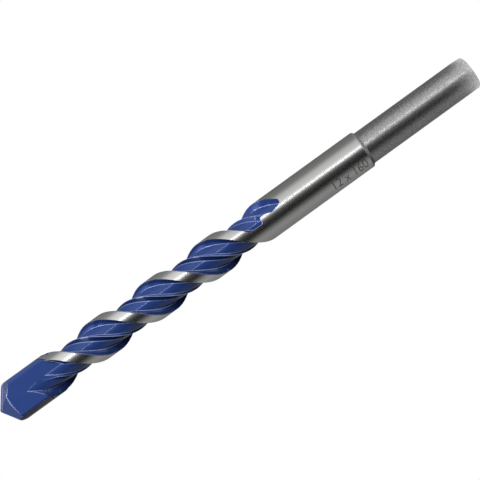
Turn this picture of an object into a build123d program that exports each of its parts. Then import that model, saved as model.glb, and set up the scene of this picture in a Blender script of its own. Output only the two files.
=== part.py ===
from build123d import *

import os
from math import asin, cos, degrees, radians, sin, sqrt, tan

# Driving dimensions, in millimetres and degrees
# The bit stands on its shank: z = 0 is the shank's end face, and the point is at the top
overall_length = 160.0

# Shank, the plain end that the chuck holds
shank_diameter = 10.0
shank_length = 36.25
shank_end_chamfer = 0.5

# Body behind the flutes and between them, and the head, which is as wide as the tip allows
body_diameter = 11.4
head_length = 18.0
head_taper_length = 1.0

# Flutes: each is two grooves side by side, with a low ridge between them
helix_lead = 37.5
core_radius = 3.85
ridge_radius = 4.35
rake_foot_radius = 4.6
heel_knee_radius = 5.0
# Places round a flute, in degrees ahead of the leading edge of its land
rake_foot_place = 2.5
first_floor_start = 9.0
first_floor_end = 55.0
ridge_place = 74.0
second_floor_start = 83.0
second_floor_end = 132.0
heel_knee_place = 138.5
heel_place = 141.8

# Direction in which the grinding wheels come in, and where they enter and leave the steel,
# as distances behind the point and offsets to the side of the axis
feed_angle = -114.5
flute_start = 8.0
run_in_start = 9.8
run_in_offset = -0.15
run_in_end = 13.5
run_in_end_offset = -0.86
head_pass_end = 24.6
middle_pass_end = 55.0
first_exit_start = 84.0
first_exit_end = 88.7
first_exit_offset = 0.5
tongue_offset = -1.4
tongue_length = 1.9
tongue_slope_length = 1.8
second_exit_offset = -0.6
second_exit_end = 95.8
second_exit_end_offset = -1.45
exit_corner_radius = 0.65

# Head: two ground flats that end in the flutes, a shallow cone in front and a slot for the tip
# The places across a flat are counted from its middle, and the lengths from the point
flat_angle = -111.0
flat_distance = 3.9
flat_lip_side = 4.7
flat_lip_side_length = 14.4
flat_middle_place = 0.6
flat_middle_length = 22.6
flat_heel_place = -3.5
flat_heel_length = 18.95
flat_heel_side = -5.2
flat_heel_side_length = 16.4
flat_wall_lean = 29.0
front_setback = 3.05
front_cone_angle = 149.0

# Carbide tip, brazed into the slot and then ground to a point together with the steel
tip_diameter = 12.0
tip_thickness = 2.8
tip_length = 14.4
tip_foot_chamfer = 0.4
point_angle = 116.0
first_relief_angle = 14.0
second_relief_angle = 42.0
tip_reach_past_head = 0.05
braze_thickness = 0.1

# How far cutting tools reach past the steel
overcut = 2.0

shank_radius = shank_diameter / 2
body_radius = body_diameter / 2
tip_radius = tip_diameter / 2
head_radius = tip_radius - tip_reach_past_head
cutter_radius = tip_radius + overcut
shoulder_height = shank_length + body_radius - shank_radius
head_foot_height = overall_length - head_length
tip_foot_height = overall_length - tip_length
slot_width = tip_thickness + 2 * braze_thickness
leading_corner_angle = degrees(asin(tip_thickness / tip_diameter))
cutting_sides = (0, 180)


def polar(radius, angle):
    """A point at a radius and at an angle in degrees."""
    return (radius * cos(radians(angle)), radius * sin(radians(angle)))


def carried_on(inner, outer, radius):
    """The point at a radius on the straight line from inner through outer."""
    run = Vector(outer) - Vector(inner)
    across = run.dot(Vector(inner)) / run.length
    reach = sqrt(across**2 + radius**2 - Vector(inner).length ** 2) - across
    end = Vector(inner) + run.normalized() * reach
    return (end.X, end.Y)


def flute_plane(height):
    """Section plane at a height, with its x axis on the leading edge of a land.

    The edge runs up the helix to the tip's leading corner at the tip's foot.
    """
    turned = 360 * (height - tip_foot_height) / helix_lead
    return Plane.XY.offset(height).rotated((0, 0, 180 + leading_corner_angle + turned))


def flute_outline():
    """Section of a flute: rake wall, first floor, ridge, second floor and heel wall."""
    rake_foot = polar(rake_foot_radius, rake_foot_place)
    rake_top = carried_on(rake_foot, polar(body_radius, 0), cutter_radius)
    first_floor = [
        polar(core_radius, first_floor_start),
        polar(core_radius, (first_floor_start + first_floor_end) / 2),
        polar(core_radius, first_floor_end),
    ]
    second_floor = [
        polar(core_radius, second_floor_start),
        polar(core_radius, (second_floor_start + second_floor_end) / 2),
        polar(core_radius, second_floor_end),
    ]
    heel_knee = polar(heel_knee_radius, heel_knee_place)
    heel_top = carried_on(heel_knee, polar(body_radius, heel_place), cutter_radius)
    with BuildLine() as outline:
        Polyline(rake_top, rake_foot, first_floor[0])
        ThreePointArc(*first_floor)
        Polyline(first_floor[2], polar(ridge_radius, ridge_place), second_floor[0])
        ThreePointArc(*second_floor)
        Polyline(second_floor[2], heel_knee, heel_top)
        ThreePointArc(heel_top, polar(cutter_radius, heel_place / 2), rake_top)
    return outline.line


def sweep_flute(nearest, farthest):
    """Sweep the pending section up the axis, between two distances behind the point."""
    bottom = overall_length - farthest
    top = overall_length - nearest
    with BuildLine(mode=Mode.PRIVATE) as axis:
        Line((0, 0, bottom), (0, 0, top))
    with BuildLine(mode=Mode.PRIVATE) as guide:
        Helix(helix_lead, top - bottom, cutter_radius, center=(0, 0, bottom))
    sweep(path=axis.line, binormal=guide.line.edges()[0])


def relief_plane(relief_angle):
    """Plane through the point that falls away behind the lip on the +X side."""
    half_point = radians(point_angle / 2)
    relief = radians(relief_angle)
    along_lip = Vector(sin(half_point), 0, -cos(half_point))
    down_flank = Vector(0, -cos(relief), -sin(relief))
    return Plane(
        origin=(0, 0, overall_length), x_dir=along_lip, z_dir=down_flank.cross(along_lip)
    )


# Plane square to the wheels' feed: x to the side, y back from the point
feed_plane = Plane(
    origin=(0, 0, overall_length),
    x_dir=Vector(*polar(1, feed_angle - 90)),
    z_dir=Vector(*polar(1, feed_angle)),
)

# First pass of a flute, in the head, where the wheel cuts on one side of its feed only
with BuildPart() as head_pass:
    with BuildSketch(flute_plane(overall_length - head_pass_end)):
        add(flute_outline())
        make_face()
    sweep_flute(flute_start, head_pass_end)
    with BuildSketch(feed_plane):
        with BuildLine():
            Polyline(
                (run_in_offset, 0),
                (run_in_offset, run_in_start),
                (run_in_end_offset, run_in_end),
                (run_in_end_offset, head_pass_end + overcut),
                (-2 * cutter_radius, head_pass_end + overcut),
                (-2 * cutter_radius, 0),
                close=True,
            )
        make_face()
    extrude(amount=2 * cutter_radius, both=True, mode=Mode.SUBTRACT)

# Second pass, at full depth from the head to the middle
with BuildPart() as middle_pass:
    with BuildSketch(flute_plane(overall_length - middle_pass_end)):
        add(flute_outline())
        make_face()
    sweep_flute(head_pass_end, middle_pass_end)

# Third pass, which stops at stepped walls where the wheels were lifted out
rear_pass_end = second_exit_end + overcut
with BuildPart() as rear_pass:
    with BuildSketch(flute_plane(overall_length - rear_pass_end)):
        add(flute_outline())
        make_face()
    sweep_flute(middle_pass_end, rear_pass_end)
    with BuildSketch(feed_plane) as stop:
        with BuildLine():
            Polyline(
                (2 * cutter_radius, first_exit_start),
                (first_exit_offset, first_exit_start),
                (first_exit_offset, first_exit_end),
                (tongue_offset, first_exit_end),
                (tongue_offset, first_exit_end + tongue_length),
                (second_exit_offset, first_exit_end + tongue_length + tongue_slope_length),
                (second_exit_end_offset, second_exit_end),
                (-2 * cutter_radius, second_exit_end),
                (-2 * cutter_radius, rear_pass_end + overcut),
                (2 * cutter_radius, rear_pass_end + overcut),
                close=True,
            )
        make_face()
        inner_corners = stop.vertices().filter_by_position(
            Axis.X, -cutter_radius, cutter_radius
        )
        fillet(inner_corners, radius=exit_corner_radius)
    extrude(amount=2 * cutter_radius, both=True, mode=Mode.SUBTRACT)

# A flat of the head, which ends in a flute and, at its back, in a wall along the heel of a land
flat_normal = Vector(*polar(1, flat_angle))
flat_plane = Plane(
    origin=Vector(0, 0, overall_length) + flat_normal * flat_distance,
    x_dir=Vector(*polar(1, flat_angle - 90)),
    z_dir=flat_normal,
)
with BuildPart() as flat_cutter:
    with BuildSketch(flat_plane):
        with BuildLine():
            Polyline(
                (flat_heel_side, flat_heel_side_length),
                (-2 * cutter_radius, flat_heel_side_length),
                (-2 * cutter_radius, -2 * overcut),
                (2 * cutter_radius, -2 * overcut),
                (2 * cutter_radius, flat_lip_side_length),
                (flat_lip_side, flat_lip_side_length),
                (flat_middle_place, flat_middle_length),
            )
            ThreePointArc(
                (flat_middle_place, flat_middle_length),
                (flat_heel_place, flat_heel_length),
                (flat_heel_side, flat_heel_side_length),
            )
        make_face()
    extrude(amount=cutter_radius, dir=flat_normal - Vector(0, 0, tan(radians(flat_wall_lean))))

# Reliefs ground behind the lip on the +X side: a slight one, then a steep one to the flat
with BuildPart() as relief:
    for relief_angle in (first_relief_angle, second_relief_angle):
        with BuildSketch(relief_plane(relief_angle)):
            Rectangle(4 * tip_diameter, 4 * tip_diameter)
        extrude(amount=2 * tip_diameter)

# Turned and fluted bar of the body, before its slot is cut
with BuildPart() as fluted_bar:
    front_rim_height = (
        overall_length - front_setback - head_radius / tan(radians(front_cone_angle / 2))
    )
    with BuildSketch(Plane.XZ):
        with BuildLine():
            Polyline(
                (0, 0),
                (shank_radius - shank_end_chamfer, 0),
                (shank_radius, shank_end_chamfer),
                (shank_radius, shank_length),
                (body_radius, shoulder_height),
                (body_radius, head_foot_height - head_taper_length),
                (head_radius, head_foot_height),
                (head_radius, front_rim_height),
                (0, overall_length - front_setback),
                close=True,
            )
        make_face()
    revolve(axis=Axis.Z)
    for cutter in (head_pass, middle_pass, rear_pass, flat_cutter, relief):
        for side in cutting_sides:
            add(cutter.part, rotation=(0, 0, side), mode=Mode.SUBTRACT)

# Room that the tip and its braze take up in the head
with BuildPart() as slot:
    with BuildSketch(Plane.XY.offset(tip_foot_height - braze_thickness)):
        Rectangle(2 * cutter_radius, slot_width)
    extrude(amount=tip_length + overcut)

# Carbide tip: a plate across the whole head, with two lips that meet in a four-sided point
with BuildPart() as carbide_tip:
    with BuildSketch(Plane.XY.offset(tip_foot_height)):
        Circle(tip_radius)
        Rectangle(tip_diameter, tip_thickness, mode=Mode.INTERSECT)
    extrude(amount=tip_length)
    foot_ends = carbide_tip.edges().group_by(Axis.Z)[0].filter_by(GeomType.CIRCLE)
    chamfer(foot_ends, length=tip_foot_chamfer)
    for side in cutting_sides:
        add(relief.part, rotation=(0, 0, side), mode=Mode.SUBTRACT)
carbide_tip.part.label = "carbide_tip"

# Steel body: shank, shoulder, fluted body and slotted head in one piece
with BuildPart() as steel_body:
    add(fluted_bar.part)
    add(slot.part, mode=Mode.SUBTRACT)
steel_body.part.label = "steel_body"

# Braze: the thin layer of silver solder that fills the slot round the tip
with BuildPart() as braze_joint:
    add(fluted_bar.part)
    add(slot.part, mode=Mode.INTERSECT)
    add(carbide_tip.part, mode=Mode.SUBTRACT)
braze_joint.part.label = "braze_joint"

os.makedirs("parts", exist_ok=True)
export_step(steel_body.part, "parts/steel_body.step")
export_step(carbide_tip.part, "parts/carbide_tip.step")
export_step(braze_joint.part, "parts/braze_joint.step")
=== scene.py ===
import math
from types import SimpleNamespace

import bmesh
import bpy
from mathutils import Matrix, Vector


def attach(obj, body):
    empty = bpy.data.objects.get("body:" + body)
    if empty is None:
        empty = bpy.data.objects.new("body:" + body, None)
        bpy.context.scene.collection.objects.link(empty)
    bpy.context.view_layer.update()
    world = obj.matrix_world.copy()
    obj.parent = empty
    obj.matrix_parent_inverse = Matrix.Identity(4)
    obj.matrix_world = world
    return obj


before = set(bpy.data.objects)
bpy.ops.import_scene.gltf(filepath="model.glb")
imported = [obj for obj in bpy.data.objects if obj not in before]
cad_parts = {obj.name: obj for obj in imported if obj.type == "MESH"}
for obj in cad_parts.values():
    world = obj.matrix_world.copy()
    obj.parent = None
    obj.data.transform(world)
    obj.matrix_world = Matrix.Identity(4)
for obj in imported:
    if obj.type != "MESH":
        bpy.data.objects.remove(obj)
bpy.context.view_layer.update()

# Steel body: one turned bar of tool steel with a round shank, a fluted body and a slotted head.
# It was painted with a blue coating all over, and the shank, the body and the lands of the
# flutes were then ground bright on a centreless grinder, which leaves fine rings round them.
millimetre = 0.001
shank_length = 36.25 * millimetre
shank_step_blend = 0.02 * millimetre
shoulder_top = 37.25 * millimetre
shoulder_blend = 0.1 * millimetre
body_radius = 5.7 * millimetre
helix_lead = 37.5 * millimetre
tip_foot_height = 145.6 * millimetre
flute_exit_height = 78.0 * millimetre
flute_exit_blend = 3 * millimetre
flute_head_height = 138.0 * millimetre
flute_head_blend = 2 * millimetre
head_lip_height = 141.0 * millimetre
head_lip_slope = 4 / millimetre
edge_radius = 0.18 * millimetre
# How alike the rounded and the plain normal are beside an edge and on it
edge_likeness = (0.996, 0.975)
# How far the walls look up or down, from steps and chamfers to the round walls
round_wall_upright = (0.3, 0.2)
# Direction of a land's leading edge at the tip's foot, in degrees round the bit
leading_edge_direction = 193.5
three_half_turns = 540


def fill_inputs(tree, node, inputs):
    """Links a node's inputs to sockets, and sets those that are given as plain values."""
    for name, value in inputs.items():
        if isinstance(value, bpy.types.NodeSocket):
            tree.links.new(value, node.inputs[name])
        else:
            node.inputs[name].default_value = value


def add_node(tree, kind, inputs=None, **settings):
    """Adds a shader node with its settings and inputs."""
    node = tree.nodes.new("ShaderNode" + kind)
    for name, value in settings.items():
        setattr(node, name, value)
    fill_inputs(tree, node, inputs or {})
    return node


def add_maths(tree, operation, first, second=0.0, **settings):
    """Returns the result of a maths operation on two numbers."""
    return add_node(tree, "Math", {0: first, 1: second}, operation=operation, **settings).outputs[0]


def add_product(tree, *shares):
    """Multiplies shares, so that the result is 1 only where all of them are 1."""
    product = shares[0]
    for share in shares[1:]:
        product = add_maths(tree, "MULTIPLY", product, share)
    return product


def add_rest(tree, share):
    """Returns what a share leaves of 1."""
    return add_maths(tree, "SUBTRACT", 1.0, share)


def add_step(tree, value, start, end):
    """Returns 0 at the start and 1 at the end, with a smooth change between them."""
    steps = {"Value": value, "From Min": start, "From Max": end}
    return add_node(tree, "MapRange", steps, interpolation_type="SMOOTHSTEP").outputs[0]


def add_line(tree, value, middle, half_width):
    """Returns 1 in a narrow band of a value, fading out on both sides of it."""
    off = add_maths(tree, "ABSOLUTE", add_maths(tree, "SUBTRACT", value, middle))
    return add_step(tree, off, half_width * 1.5, half_width * 0.5)


def add_mix(tree, share, low, high):
    """Mixes two colours by a share."""
    return add_node(tree, "Mix", {0: share, 6: low, 7: high}, data_type="RGBA").outputs[2]


def add_vector_mix(tree, share, low, high):
    """Mixes two directions by a share."""
    return add_node(tree, "Mix", {0: share, 4: low, 5: high}, data_type="VECTOR").outputs[1]


def add_number_mix(tree, share, low, high):
    """Mixes two numbers by a share."""
    return add_node(tree, "MapRange", {"Value": share, "To Min": low, "To Max": high}).outputs[0]


def add_noise(tree, place, scale, detail):
    """Returns a noise pattern, stretched by a scale along each axis."""
    stretched = add_node(tree, "Mapping", {"Vector": place, "Scale": scale})
    noise = {"Vector": stretched.outputs[0], "Scale": 1.0, "Detail": detail}
    return add_node(tree, "TexNoise", noise).outputs[0]


def add_bump(tree, pattern, distance, normal, strength=1.0):
    """Returns normals bent by a pattern of heights."""
    bump = {"Height": pattern, "Distance": distance, "Normal": normal, "Strength": strength}
    return add_node(tree, "Bump", bump).outputs[0]


def split(tree, place):
    """Returns the three coordinates of a place."""
    return tuple(add_node(tree, "SeparateXYZ", {0: place}).outputs)


def plain_normal(tree):
    """Returns the mesh's own normals."""
    return add_node(tree, "NewGeometry").outputs["Normal"]


def round_place(tree):
    """Returns the place on a piece, its height and its distance from the bit's axis."""
    place = add_node(tree, "TexCoord").outputs["Object"]
    x, y, height = split(tree, place)
    level = add_node(tree, "CombineXYZ", {0: x, 1: y}).outputs[0]
    radius = add_node(tree, "VectorMath", {0: level}, operation="LENGTH").outputs["Value"]
    return place, height, radius


def flute_place(tree, place):
    """Returns a place turned back down the helix to where it was at the tip's foot."""
    x, y, height = split(tree, place)
    climb = add_maths(tree, "SUBTRACT", height, tip_foot_height)
    turn = add_maths(tree, "MULTIPLY", climb, 2 * math.pi / helix_lead)
    cosine = add_maths(tree, "COSINE", turn)
    sine = add_maths(tree, "SINE", turn)
    back_x = add_maths(tree, "ADD", add_product(tree, x, cosine), add_product(tree, y, sine))
    back_y = add_maths(tree, "SUBTRACT", add_product(tree, y, cosine), add_product(tree, x, sine))
    return add_node(tree, "CombineXYZ", {0: back_x, 1: back_y, 2: height}).outputs[0]


def flute_degrees(tree, turned_back):
    """Returns the angle round a flute, in degrees ahead of the leading edge of its land."""
    x, y = split(tree, turned_back)[:2]
    angle = add_maths(tree, "DEGREES", add_maths(tree, "ARCTAN2", y, x))
    # The half-turns change nothing but keep the angle above 0, as the remainder needs it
    ahead = add_maths(tree, "SUBTRACT", angle, leading_edge_direction - three_half_turns)
    return add_maths(tree, "MODULO", ahead, 180)


def steel_places(tree):
    """Returns the measures that the body's colours and bumps go by."""
    at = SimpleNamespace()
    at.place, at.height, at.radius = round_place(tree)
    at.turned_back = flute_place(tree, at.place)
    at.ahead = flute_degrees(tree, at.turned_back)
    into_head = add_maths(tree, "SUBTRACT", at.height, head_lip_height)
    into_head = add_maths(tree, "MAXIMUM", into_head, 0.0)
    set_back = add_maths(tree, "MULTIPLY", into_head, -head_lip_slope)
    at.ahead_in_head = add_maths(tree, "ADD", set_back, at.ahead)
    exit_top = flute_exit_height + flute_exit_blend
    at.above_exits = add_step(tree, at.height, flute_exit_height, exit_top)
    at.in_flute = add_step(tree, at.height, flute_head_height, flute_head_height - flute_head_blend)
    at.on_shank = add_step(tree, at.height, shank_length, shank_length - shank_step_blend)
    half_blend = shoulder_blend / 2
    below_body = add_step(tree, at.height, shoulder_top + half_blend, shoulder_top - half_blend)
    at.on_shoulder = add_maths(tree, "SUBTRACT", below_body, at.on_shank)
    return at


def round_normal(tree, place):
    """Returns the true normals of the round walls, and the mesh's own normals elsewhere."""
    plain = plain_normal(tree)
    upright = add_maths(tree, "ABSOLUTE", split(tree, plain)[2])
    x, y = split(tree, place)[:2]
    outward = add_node(tree, "CombineXYZ", {0: x, 1: y}).outputs[0]
    outward = add_node(tree, "VectorMath", {0: outward}, operation="NORMALIZE").outputs[0]
    return add_vector_mix(tree, add_step(tree, upright, *round_wall_upright), plain, outward)


def edge_rounding(tree):
    """Returns normals that are rounded over the edges, and 1 along the edges."""
    rounded = add_node(tree, "Bevel", {"Radius": edge_radius}, samples=8).outputs[0]
    both = {0: rounded, 1: plain_normal(tree)}
    alike = add_node(tree, "VectorMath", both, operation="DOT_PRODUCT").outputs["Value"]
    return rounded, add_step(tree, alike, *edge_likeness)


def new_material(name):
    """Makes a material with one surface shader and returns it with its tree and shader."""
    material = bpy.data.materials.new(name)
    material.use_nodes = True
    tree = material.node_tree
    return material, tree, tree.nodes["Principled BSDF"]


ground_wall_radii = (5.6 * millimetre, 5.65 * millimetre)
head_foot_heights = (144.15 * millimetre, 143.9 * millimetre)
head_lip_blend = 0.3 * millimetre
# Where the blue is kept, in degrees ahead of a leading edge, from its fading to its full
coated_lip = (176.5, 178.0)
coated_neck_heights = (139 * millimetre, 140 * millimetre)
coated_neck_behind = (168, 170)
coated_neck_ahead = (12, 10)
coated_heel = (141, 142)


def ground_steel(tree, at):
    """Returns 1 where the steel is ground bright, on the outer cylinder up to the head."""
    ground = add_step(tree, at.radius, *ground_wall_radii)
    lip = add_product(tree, add_step(tree, at.ahead, *coated_lip), at.above_exits)
    ground = add_maths(tree, "SUBTRACT", ground, lip)
    behind = add_step(tree, at.ahead, *coated_neck_behind)
    neck = add_maths(tree, "MAXIMUM", behind, add_step(tree, at.ahead, *coated_neck_ahead))
    neck = add_product(tree, neck, add_step(tree, at.height, *coated_neck_heights))
    ground = add_maths(tree, "MAXIMUM", add_maths(tree, "SUBTRACT", ground, neck), 0.0)
    below_lip = add_step(tree, at.height, head_lip_height, head_lip_height - head_lip_blend)
    past_heel = add_step(tree, at.ahead_in_head, *coated_heel)
    past_heel = add_maths(tree, "MAXIMUM", past_heel, below_lip)
    below_head = add_step(tree, at.height, *head_foot_heights)
    below_body = add_step(tree, at.height, shoulder_top, shoulder_top - shoulder_blend)
    return add_maths(tree, "MAXIMUM", add_product(tree, ground, past_heel, below_head), below_body)


steel_colour = (0.60, 0.60, 0.592, 1)
land_colour = (0.72, 0.72, 0.715, 1)
land_blend = 8 * millimetre
shoulder_colour = (0.42, 0.42, 0.42, 1)
shank_dark_colour = (0.30, 0.30, 0.30, 1)
shank_light_colour = (0.66, 0.66, 0.66, 1)
shank_grain_scale = (5200, 5200, 3600)
shank_grain_range = (0.4, 0.7)
body_roughness = 0.27
shoulder_roughness = 0.6
shank_roughness = 0.36


def bare_steel(tree, at):
    """Returns the colour and the roughness of the ground steel."""
    on_lands = add_step(tree, at.height, flute_exit_height, flute_exit_height + land_blend)
    colour = add_mix(tree, on_lands, steel_colour, land_colour)
    grain = add_noise(tree, at.place, shank_grain_scale, 3)
    grain = add_step(tree, grain, *shank_grain_range)
    shank_colour = add_mix(tree, grain, shank_dark_colour, shank_light_colour)
    colour = add_mix(tree, at.on_shank, colour, shank_colour)
    colour = add_mix(tree, at.on_shoulder, colour, shoulder_colour)
    roughness = add_number_mix(tree, at.on_shank, body_roughness, shank_roughness)
    roughness = add_number_mix(tree, at.on_shoulder, roughness, shoulder_roughness)
    return colour, roughness


# The sides that face away from the light, where shade is painted, in degrees ahead of a leading
# edge
ridge_side_start = (55, 57)
ridge_side_end = (73, 69)
heel_side_start = (135.5, 138)
heel_side_darkness = 0.8
heel_side_heights = (145.0 * millimetre, 144.2 * millimetre)


def painted_shade_sides(tree, at):
    """Returns 1 where shade is painted, on the sides of the ridge in each flute and of the heel's
    wall.
    """
    ridge_side = add_product(
        tree,
        add_step(tree, at.ahead, *ridge_side_start),
        add_step(tree, at.ahead, *ridge_side_end),
        at.in_flute,
    )
    heel_side = add_product(
        tree,
        add_step(tree, at.ahead_in_head, *heel_side_start),
        add_step(tree, at.height, *heel_side_heights),
        heel_side_darkness,
    )
    return add_product(tree, add_maths(tree, "MAXIMUM", ridge_side, heel_side), at.above_exits)


# Lines along the flute edges, painted light: partly the blue rubbed off, partly a painted highlight
edge_highlight_lines = (
    # degrees ahead of the leading edge, half width in degrees, and its share of rubbed-off blue and
    # painted highlight
    (8.0, 0.9, 0.55),
    (51.8, 1.1, 0.9),
    (75.5, 0.9, 0.6),
    (83.0, 1.0, 0.75),
    (131.2, 0.7, 0.6),
)
edge_line_noise_scale = (160, 160, 160)
edge_line_noise_range = (0.25, 0.6)
head_blend = 1 * millimetre
head_edge_radii = (5.3 * millimetre, 5.5 * millimetre)
# A band round the foot of the tip where the edges stay blue
unworn_band_height = 146.0 * millimetre
unworn_band_half_width = 0.8 * millimetre


def rubbed_and_highlit_edges(tree, at, edge):
    """Returns how far the flute and head edges are painted light, partly rubbed-off blue, partly
    painted highlight.
    """
    in_head = add_step(tree, at.height, head_lip_height, head_lip_height + head_blend)
    outermost = add_step(tree, at.radius, *head_edge_radii)
    unworn = add_rest(tree, add_product(tree, in_head, outermost))
    in_band = add_line(tree, at.height, unworn_band_height, unworn_band_half_width)
    unworn = add_maths(tree, "SUBTRACT", unworn, in_band)
    edge = add_maths(tree, "MULTIPLY", edge, unworn, use_clamp=True)
    lines = edge
    for line_place, half_width, line_share in edge_highlight_lines:
        line = add_product(tree, add_line(tree, at.ahead, line_place, half_width), line_share)
        lines = add_maths(tree, "MAXIMUM", lines, line)
    broken = add_noise(tree, at.place, edge_line_noise_scale, 2)
    broken = add_step(tree, broken, *edge_line_noise_range)
    lines = add_product(tree, lines, broken, at.in_flute)
    return add_maths(tree, "MAXIMUM", lines, edge)


coating_colour = (0.031, 0.073, 0.285, 1)
coating_thin_colour = (0.026, 0.061, 0.245, 1)
coating_mottle_scale = (300, 300, 160)
# Painted shade: the blue down in the flutes is mixed a little toward a darker blue
flute_shade_colour = (0.0, 0.008, 0.04, 1)
flute_shade_share = 0.12
# Painted shade: a darker blue on the sides away from the light, which also lose their coat
painted_shade_colour = (0.007, 0.020, 0.085, 1)
# Light blue on the edges: partly rubbed-off coating, partly a painted highlight
rubbed_and_highlight_colour = (0.42, 0.50, 0.80, 1)
relief_colour = (0.045, 0.072, 0.22, 1)
# The front faces of the head that look up toward the point get a light blue: a painted highlight
front_highlight_colour = (0.50, 0.58, 0.82, 1)
front_heights = (151.0 * millimetre, 152.0 * millimetre)
# How far the front faces of the head look upward, from 0 for a wall to 1 for a top
relief_upward = (0.4, 0.5)
front_upward = (0.85, 0.9)


def blue_coating(tree, at, painted_shade, wear_and_highlight):
    """Returns the coating's colour, with painted shade in the flutes and on the dark sides, and
    painted highlight on the rubbed edges and the front faces.
    """
    mottle = add_noise(tree, at.place, coating_mottle_scale, 3)
    blue = add_mix(tree, mottle, coating_thin_colour, coating_colour)
    # Painted shade in the flutes
    blue = add_mix(tree, add_product(tree, at.in_flute, flute_shade_share), blue, flute_shade_colour)
    # Painted shade on the sides away from the light
    blue = add_mix(tree, painted_shade, blue, painted_shade_colour)
    # Edges painted light: partly rubbed-off blue, partly a painted highlight
    blue = add_mix(tree, wear_and_highlight, blue, rubbed_and_highlight_colour)
    upward = split(tree, plain_normal(tree))[2]
    in_front = add_step(tree, at.height, *front_heights)
    # The front faces get a painted highlight
    for face_upward, face_colour in ((relief_upward, relief_colour), (front_upward, front_highlight_colour)):
        on_face = add_product(tree, add_step(tree, upward, *face_upward), in_front)
        blue = add_mix(tree, on_face, blue, face_colour)
    return blue


ring_scale = (60, 60, 9000)
ring_height = 0.0025 * millimetre
ring_strength = 0.25
ridge_step_height = 0.16 * millimetre
ridge_fall = (78, 128)
grinding_scale = (5000, 5000, 40)
grinding_depth = 0.006 * millimetre


def steel_bumps(tree, at, bare, rounded):
    """Returns the normals, with rings on the ground steel and wheel marks down the flutes."""
    rings = add_noise(tree, at.place, ring_scale, 3)
    rings = add_bump(tree, rings, ring_height, round_normal(tree, at.place), ring_strength)
    ridge = add_rest(tree, add_step(tree, at.ahead, *ridge_fall))
    ridge = add_bump(tree, add_product(tree, ridge, at.in_flute), ridge_step_height, rounded)
    grinding = add_noise(tree, at.turned_back, grinding_scale, 3)
    grinding = add_bump(tree, grinding, grinding_depth, ridge)
    return add_vector_mix(tree, bare, grinding, rings)


coating_roughness = 0.22
coating_metallic = 0.15
gloss_ior = 1.38
coating_specular = 0.1


def coated_steel():
    """Bright ground steel on the outer cylinder, and the blue coating below it."""
    material, tree, surface = new_material("coated_steel")
    at = steel_places(tree)
    rounded, edge = edge_rounding(tree)
    bare = ground_steel(tree, at)
    painted_shade = painted_shade_sides(tree, at)
    wear_and_highlight = add_product(tree, rubbed_and_highlit_edges(tree, at, edge), add_rest(tree, bare))
    bare_colour, bare_roughness = bare_steel(tree, at)
    looks = {
        "Base Color": add_mix(tree, bare, blue_coating(tree, at, painted_shade, wear_and_highlight), bare_colour),
        "Metallic": add_number_mix(tree, bare, coating_metallic, 1.0),
        "Roughness": add_number_mix(tree, bare, coating_roughness, bare_roughness),
        "Normal": steel_bumps(tree, at, bare, rounded),
        "Coat Weight": add_rest(tree, add_maths(tree, "MAXIMUM", bare, painted_shade)),
        "Coat Roughness": 0.05,
        "Coat IOR": gloss_ior,
        "Specular IOR Level": coating_specular,
    }
    fill_inputs(tree, surface, looks)
    return material


steel_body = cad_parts["steel_body"]
steel_body.material_slots[0].material = coated_steel()

# Size mark: the bit's own size in plain numbers, rolled into the ground body beside the shank.
# It is only a few hundredths of a millimetre deep, and its strokes have gone dark.
mark_text = "12 x 160"
mark_stroke_change = -0.012
mark_start_height = 49.6 * millimetre
mark_length = 11.3 * millimetre
mark_number_height = 3.1 * millimetre
mark_foot_direction = math.radians(-169)
mark_radius = body_radius + 0.008 * millimetre
mark_slice = 0.25 * millimetre
mark_dark_colour = (0.10, 0.10, 0.10, 1)
mark_light_colour = (0.22, 0.22, 0.22, 1)
mark_grain_scale = (4000, 4000, 4000)


def dark_mark():
    """Steel gone dark in the strokes of the rolled numbers."""
    material, tree, surface = new_material("dark_mark")
    grain = add_noise(tree, round_place(tree)[0], mark_grain_scale, 2)
    colour = add_mix(tree, grain, mark_dark_colour, mark_light_colour)
    fill_inputs(tree, surface, {"Base Color": colour, "Metallic": 0.8, "Roughness": 0.5})
    return material


def flat_numbers():
    """Makes the numbers as a flat sheet of faces, with the first one's foot at the origin."""
    letters = bpy.data.curves.new("size_mark_text", "FONT")
    letters.body = mark_text
    letters.offset = mark_stroke_change
    holder = bpy.data.objects.new("size_mark_text", letters)
    bpy.context.scene.collection.objects.link(holder)
    bpy.context.view_layer.update()
    drawn = holder.evaluated_get(bpy.context.evaluated_depsgraph_get())
    shape = bpy.data.meshes.new_from_object(drawn)
    bpy.data.objects.remove(holder)
    sheet = bmesh.new()
    sheet.from_mesh(shape)
    bpy.data.meshes.remove(shape)
    left = min(corner.co.x for corner in sheet.verts)
    right = max(corner.co.x for corner in sheet.verts)
    top = max(corner.co.y for corner in sheet.verts)
    for corner in sheet.verts:
        corner.co.x = (corner.co.x - left) * mark_length / (right - left)
        corner.co.y = corner.co.y * mark_number_height / top
    return sheet


def rolled_numbers():
    """Slices the flat numbers finely and wraps them round the body."""
    sheet = flat_numbers()
    for number in range(1, math.ceil(mark_number_height / mark_slice)):
        everything = sheet.verts[:] + sheet.edges[:] + sheet.faces[:]
        height = (0, number * mark_slice, 0)
        bmesh.ops.bisect_plane(sheet, geom=everything, plane_co=height, plane_no=(0, 1, 0))
    for corner in sheet.verts:
        direction = mark_foot_direction + corner.co.y / body_radius
        height = mark_start_height - corner.co.x
        corner.co = (mark_radius * math.cos(direction), mark_radius * math.sin(direction), height)
    mesh = bpy.data.meshes.new("size_mark")
    sheet.to_mesh(mesh)
    sheet.free()
    return mesh


size_mark = bpy.data.objects.new("size_mark", rolled_numbers())
bpy.context.scene.collection.objects.link(size_mark)
size_mark.data.materials.append(dark_mark())
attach(size_mark, "root")

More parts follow.
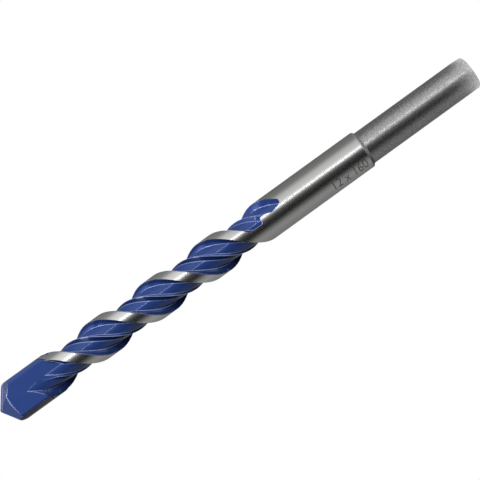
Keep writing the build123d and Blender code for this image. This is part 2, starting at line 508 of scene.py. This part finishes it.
# Braze: silver solder that ran into the slot round the tip. It was coated with the head, so
# only a thin blue-grey line of it shows between the tip and the steel.
braze_dark_colour = (0.04, 0.075, 0.22, 1)
braze_light_colour = (0.06, 0.11, 0.30, 1)
braze_mottle_scale = (900, 900, 900)


def coated_braze():
    """Silver solder under the thin blue coating."""
    material, tree, surface = new_material("coated_braze")
    mottle = add_noise(tree, round_place(tree)[0], braze_mottle_scale, 2)
    colour = add_mix(tree, mottle, braze_dark_colour, braze_light_colour)
    fill_inputs(tree, surface, {"Base Color": colour, "Metallic": 0.7, "Roughness": 0.38})
    return material


braze_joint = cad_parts["braze_joint"]
braze_joint.material_slots[0].material = coated_braze()

# Carbide tip: a sintered plate, its point ground four-sided on a wheel and brazed into the slot.
# Its faces carry the blue coating, and its round margins are ground to size after coating.
point_height = 160.0 * millimetre
margin_radii = (5.93 * millimetre, 5.96 * millimetre)
margin_dark_colour = (0.065, 0.07, 0.19, 1)
margin_light_colour = (0.17, 0.165, 0.27, 1)
margin_mottle_range = (0.3, 0.7)
tip_coating_dark_colour = (0.018, 0.040, 0.145, 1)
tip_coating_light_colour = (0.021, 0.047, 0.165, 1)
tip_mottle_scale = (700, 700, 350)
tip_edge_light = 0.7
tip_edge_light_heights = (146.6 * millimetre, 147.1 * millimetre)
# The narrow face along each lip: how far it falls for each step outward, and where it ends
lip_face_slope = 1.305
lip_face_ends = (1.29 * millimetre, 1.23 * millimetre)
lip_face_starts = (0.1 * millimetre, 0.5 * millimetre)
# The face behind each lip is painted lighter: a painted highlight for the light this narrow face
# catches
lip_face_highlight_colour = (0.060, 0.085, 0.24, 1)


def lip_face(tree, place, height):
    """Returns 1 on the narrow face behind each lip."""
    x, y = split(tree, place)[:2]
    out = add_product(tree, x, add_maths(tree, "SIGN", y), -1.0)
    behind_point = add_maths(tree, "SUBTRACT", point_height, height)
    fall = add_maths(tree, "SUBTRACT", behind_point, add_product(tree, out, lip_face_slope))
    return add_product(
        tree, add_step(tree, fall, *lip_face_ends), add_step(tree, out, *lip_face_starts)
    )


def coated_carbide():
    """Blue coating on sintered carbide, rubbed grey at the ground margins, with painted light on
    its edges and behind each lip.
    """
    material, tree, surface = new_material("coated_carbide")
    place, height, radius = round_place(tree)
    mottle = add_noise(tree, place, tip_mottle_scale, 3)
    blue = add_mix(tree, mottle, tip_coating_dark_colour, tip_coating_light_colour)
    blue = add_mix(tree, lip_face(tree, place, height), blue, lip_face_highlight_colour)
    # The tip's edges above its foot are painted light: partly rubbed coating, partly a painted
    # highlight
    rounded, edge = edge_rounding(tree)
    edge = add_product(tree, edge, add_step(tree, height, *tip_edge_light_heights), tip_edge_light)
    blue = add_mix(tree, edge, blue, rubbed_and_highlight_colour)
    margin_share = add_step(tree, mottle, *margin_mottle_range)
    margin = add_mix(tree, margin_share, margin_dark_colour, margin_light_colour)
    looks = {
        "Base Color": add_mix(tree, add_step(tree, radius, *margin_radii), blue, margin),
        "Metallic": coating_metallic,
        "Roughness": 0.30,
        "Normal": rounded,
        "Coat Weight": 1.0,
        "Coat Roughness": 0.06,
        "Coat IOR": gloss_ior,
        "Specular IOR Level": coating_specular,
    }
    fill_inputs(tree, surface, looks)
    return material


carbide_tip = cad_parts["carbide_tip"]
carbide_tip.material_slots[0].material = coated_carbide()

# Floor: a round white board that the bit stands on. The camera and the steel see it as plain
# white, and its own share of the light still carries the bit's soft shadow.
floor_radius = 18 * millimetre
floor_fade_end = 0.3 * floor_radius
floor_colour = (0.5, 0.5, 0.5, 1)
floor_glow = 0.78

floor_mesh = bpy.data.meshes.new("floor")
outline = bmesh.new()
bmesh.ops.create_circle(outline, cap_ends=True, segments=96, radius=floor_radius)
outline.to_mesh(floor_mesh)
outline.free()
floor = bpy.data.objects.new("floor", floor_mesh)
bpy.context.scene.collection.objects.link(floor)


def seen_directly(tree):
    """Returns 1 for what the camera sees, also in a reflection or through glass."""
    ray = add_node(tree, "LightPath").outputs
    seen = add_maths(tree, "MAXIMUM", ray["Is Camera Ray"], ray["Is Glossy Ray"])
    return add_maths(tree, "MAXIMUM", seen, ray["Is Transmission Ray"])


def white_board():
    """White board that shows the shadow, fading into the white round it at its rim."""
    material, tree, surface = new_material("white_board")
    material.cycles.emission_sampling = "NONE"
    seen = seen_directly(tree)
    looks = {
        "Base Color": floor_colour,
        "Roughness": 0.9,
        "Specular IOR Level": 0.0,
        "Emission Color": (1, 1, 1, 1),
        "Emission Strength": add_product(tree, seen, floor_glow),
    }
    fill_inputs(tree, surface, looks)
    backdrop = add_node(tree, "Emission", {"Strength": seen}).outputs[0]
    inside = add_step(tree, round_place(tree)[2], floor_radius, floor_fade_end)
    shown = add_node(tree, "MixShader", {0: inside, 1: backdrop, 2: surface.outputs[0]})
    tree.links.new(shown.outputs[0], tree.nodes["Material Output"].inputs[0])
    return material


floor_mesh.materials.append(white_board())

# Light tent: white cloth stands round the bit, lit from outside so that it glows unevenly. A
# long window glows to the upper side of the bit, brightest along its edge, and a dark flag
# hangs beside it. The camera looks through the cloth at plain white.
view_azimuth = math.radians(-24.5)
tent_radius = 0.9
tent_height = 1.8
tent_brightness = 1.8
window_bands = (
    # degrees from straight behind the bit, over its upper side to the viewer at 180, and the glow
    (0, 0.06),
    (40, 0.11),
    (90, 0.14),
    (102, 0.20),
    (115, 0.38),
    (138, 0.46),
    (158, 0.46),
    (164, 0.24),
    (170, 0.10),
    (180, 0.015),
    (216, 0.0),
    (223, 0.04),
    (232, 0.09),
    (246, 0.19),
    (264, 0.22),
    (290, 0.17),
    (330, 0.14),
    (360, 0.06),
)
# The cloth under the bit glows only near the bit's level; shares of a turn, and heights
under_side = (0.52, 0.56)
near_level_heights = (0.35, 0.245)

tent_mesh = bpy.data.meshes.new("light_tent")
cloth = bmesh.new()
bmesh.ops.create_cone(
    cloth, cap_ends=True, segments=96, radius1=tent_radius, radius2=tent_radius, depth=tent_height
)
cloth.to_mesh(tent_mesh)
cloth.free()
light_tent = bpy.data.objects.new("light_tent", tent_mesh)
light_tent.visible_camera = False
light_tent.visible_shadow = False
bpy.context.scene.collection.objects.link(light_tent)


def glowing_cloth():
    """Cloth that glows by its direction round the bit."""
    material, tree, surface = new_material("glowing_cloth")
    material.cycles.emission_sampling = "NONE"
    tree.nodes.remove(surface)
    place = add_node(tree, "TexCoord").outputs["Object"]
    turn = {"Vector": place, "Rotation": (0, 0, math.pi / 2 - view_azimuth)}
    x, y, height = split(tree, add_node(tree, "Mapping", turn).outputs[0])
    angle = add_maths(tree, "ARCTAN2", y, x)
    whole_turn = {"Value": angle, "From Min": math.pi, "From Max": -math.pi}
    share = add_node(tree, "MapRange", whole_turn).outputs[0]
    ramp = add_node(tree, "ValToRGB", {0: share})
    stops = ramp.color_ramp.elements
    while len(stops) < len(window_bands):
        stops.new(0.5)
    for stop, (degrees, glow) in zip(stops, window_bands):
        stop.position = degrees / 360
        stop.color = (glow, glow, glow, 1)
    near_level = add_step(tree, add_maths(tree, "ABSOLUTE", height), *near_level_heights)
    not_under = add_rest(tree, add_step(tree, share, *under_side))
    lit = add_maths(tree, "MAXIMUM", not_under, near_level)
    strength = add_product(tree, lit, tent_brightness)
    glow = add_node(tree, "Emission", {"Color": ramp.outputs[0], "Strength": strength})
    tree.links.new(glow.outputs[0], tree.nodes["Material Output"].inputs[0])
    return material


tent_mesh.materials.append(glowing_cloth())

# Lamps: a narrow strip stands along the edge of the tent's window, a square key lamp hangs
# above the upper side of the bit, and another behind the bit lights its far side. All of them
# face the middle of the bit. The room round them glows softly and looks plain white.
lamps = (
    # name, direction in degrees as in the table above, distance, height, width, length and power
    ("strip_light", 160.5, 0.8, 0.08, 0.03, 0.9, 0.82),
    ("key_light", 141, 0.65, 0.75, 0.5, 0.5, 7.7),
    ("back_light", 0, 0.65, 0.75, 0.5, 0.5, 5.0),
)
world_light = 0.35

for name, direction, distance, height, width, length, power in lamps:
    lamp = bpy.data.lights.new(name, "AREA")
    lamp.shape = "RECTANGLE"
    lamp.size = width
    lamp.size_y = length
    lamp.energy = power
    light = bpy.data.objects.new(name, lamp)
    bpy.context.scene.collection.objects.link(light)
    turn = view_azimuth + math.pi / 2 - math.radians(direction)
    light.location = (distance * math.cos(turn), distance * math.sin(turn), height)
    lean = math.atan2(distance, height - point_height / 2)
    light.rotation_euler = (lean, 0, turn + math.pi / 2)

scene = bpy.context.scene
scene.view_settings.view_transform = "Standard"
scene.world = bpy.data.worlds.new("white_room")
scene.world.use_nodes = True
room_tree = scene.world.node_tree
brightness = add_number_mix(room_tree, seen_directly(room_tree), world_light, 1.0)
room_looks = {"Color": (1, 1, 1, 1), "Strength": brightness}
fill_inputs(room_tree, room_tree.nodes["Background"], room_looks)

# Camera: level with the middle of the bit, and rolled until the bit lies across the picture
# with its tip at the lower left.
view_elevation = math.radians(1.3)
view_roll = math.radians(35.88)
view_distance = 480 * millimetre
view_height = 79.0 * millimetre
view_side_step = 0.40 * millimetre
lens_focal_length = 130.56

towards_viewer = Vector(
    (
        math.sin(view_azimuth) * math.cos(view_elevation),
        -math.cos(view_azimuth) * math.cos(view_elevation),
        math.sin(view_elevation),
    )
)
across = Vector((-math.cos(view_azimuth), -math.sin(view_azimuth), 0))
down_the_bit = towards_viewer.cross(across)
picture_right = math.cos(view_roll) * down_the_bit + math.sin(view_roll) * across
picture_up = math.sin(view_roll) * down_the_bit - math.cos(view_roll) * across
target = Vector((0, 0, view_height)) + across * view_side_step

camera_data = bpy.data.cameras.new("camera")
camera_data.lens = lens_focal_length
camera_data.clip_start = 0.01
camera_data.clip_end = 10
camera = bpy.data.objects.new("camera", camera_data)
scene.collection.objects.link(camera)
camera_turn = Matrix((picture_right, picture_up, towards_viewer)).transposed().to_4x4()
camera.matrix_world = Matrix.Translation(target + towards_viewer * view_distance) @ camera_turn
scene.camera = camera
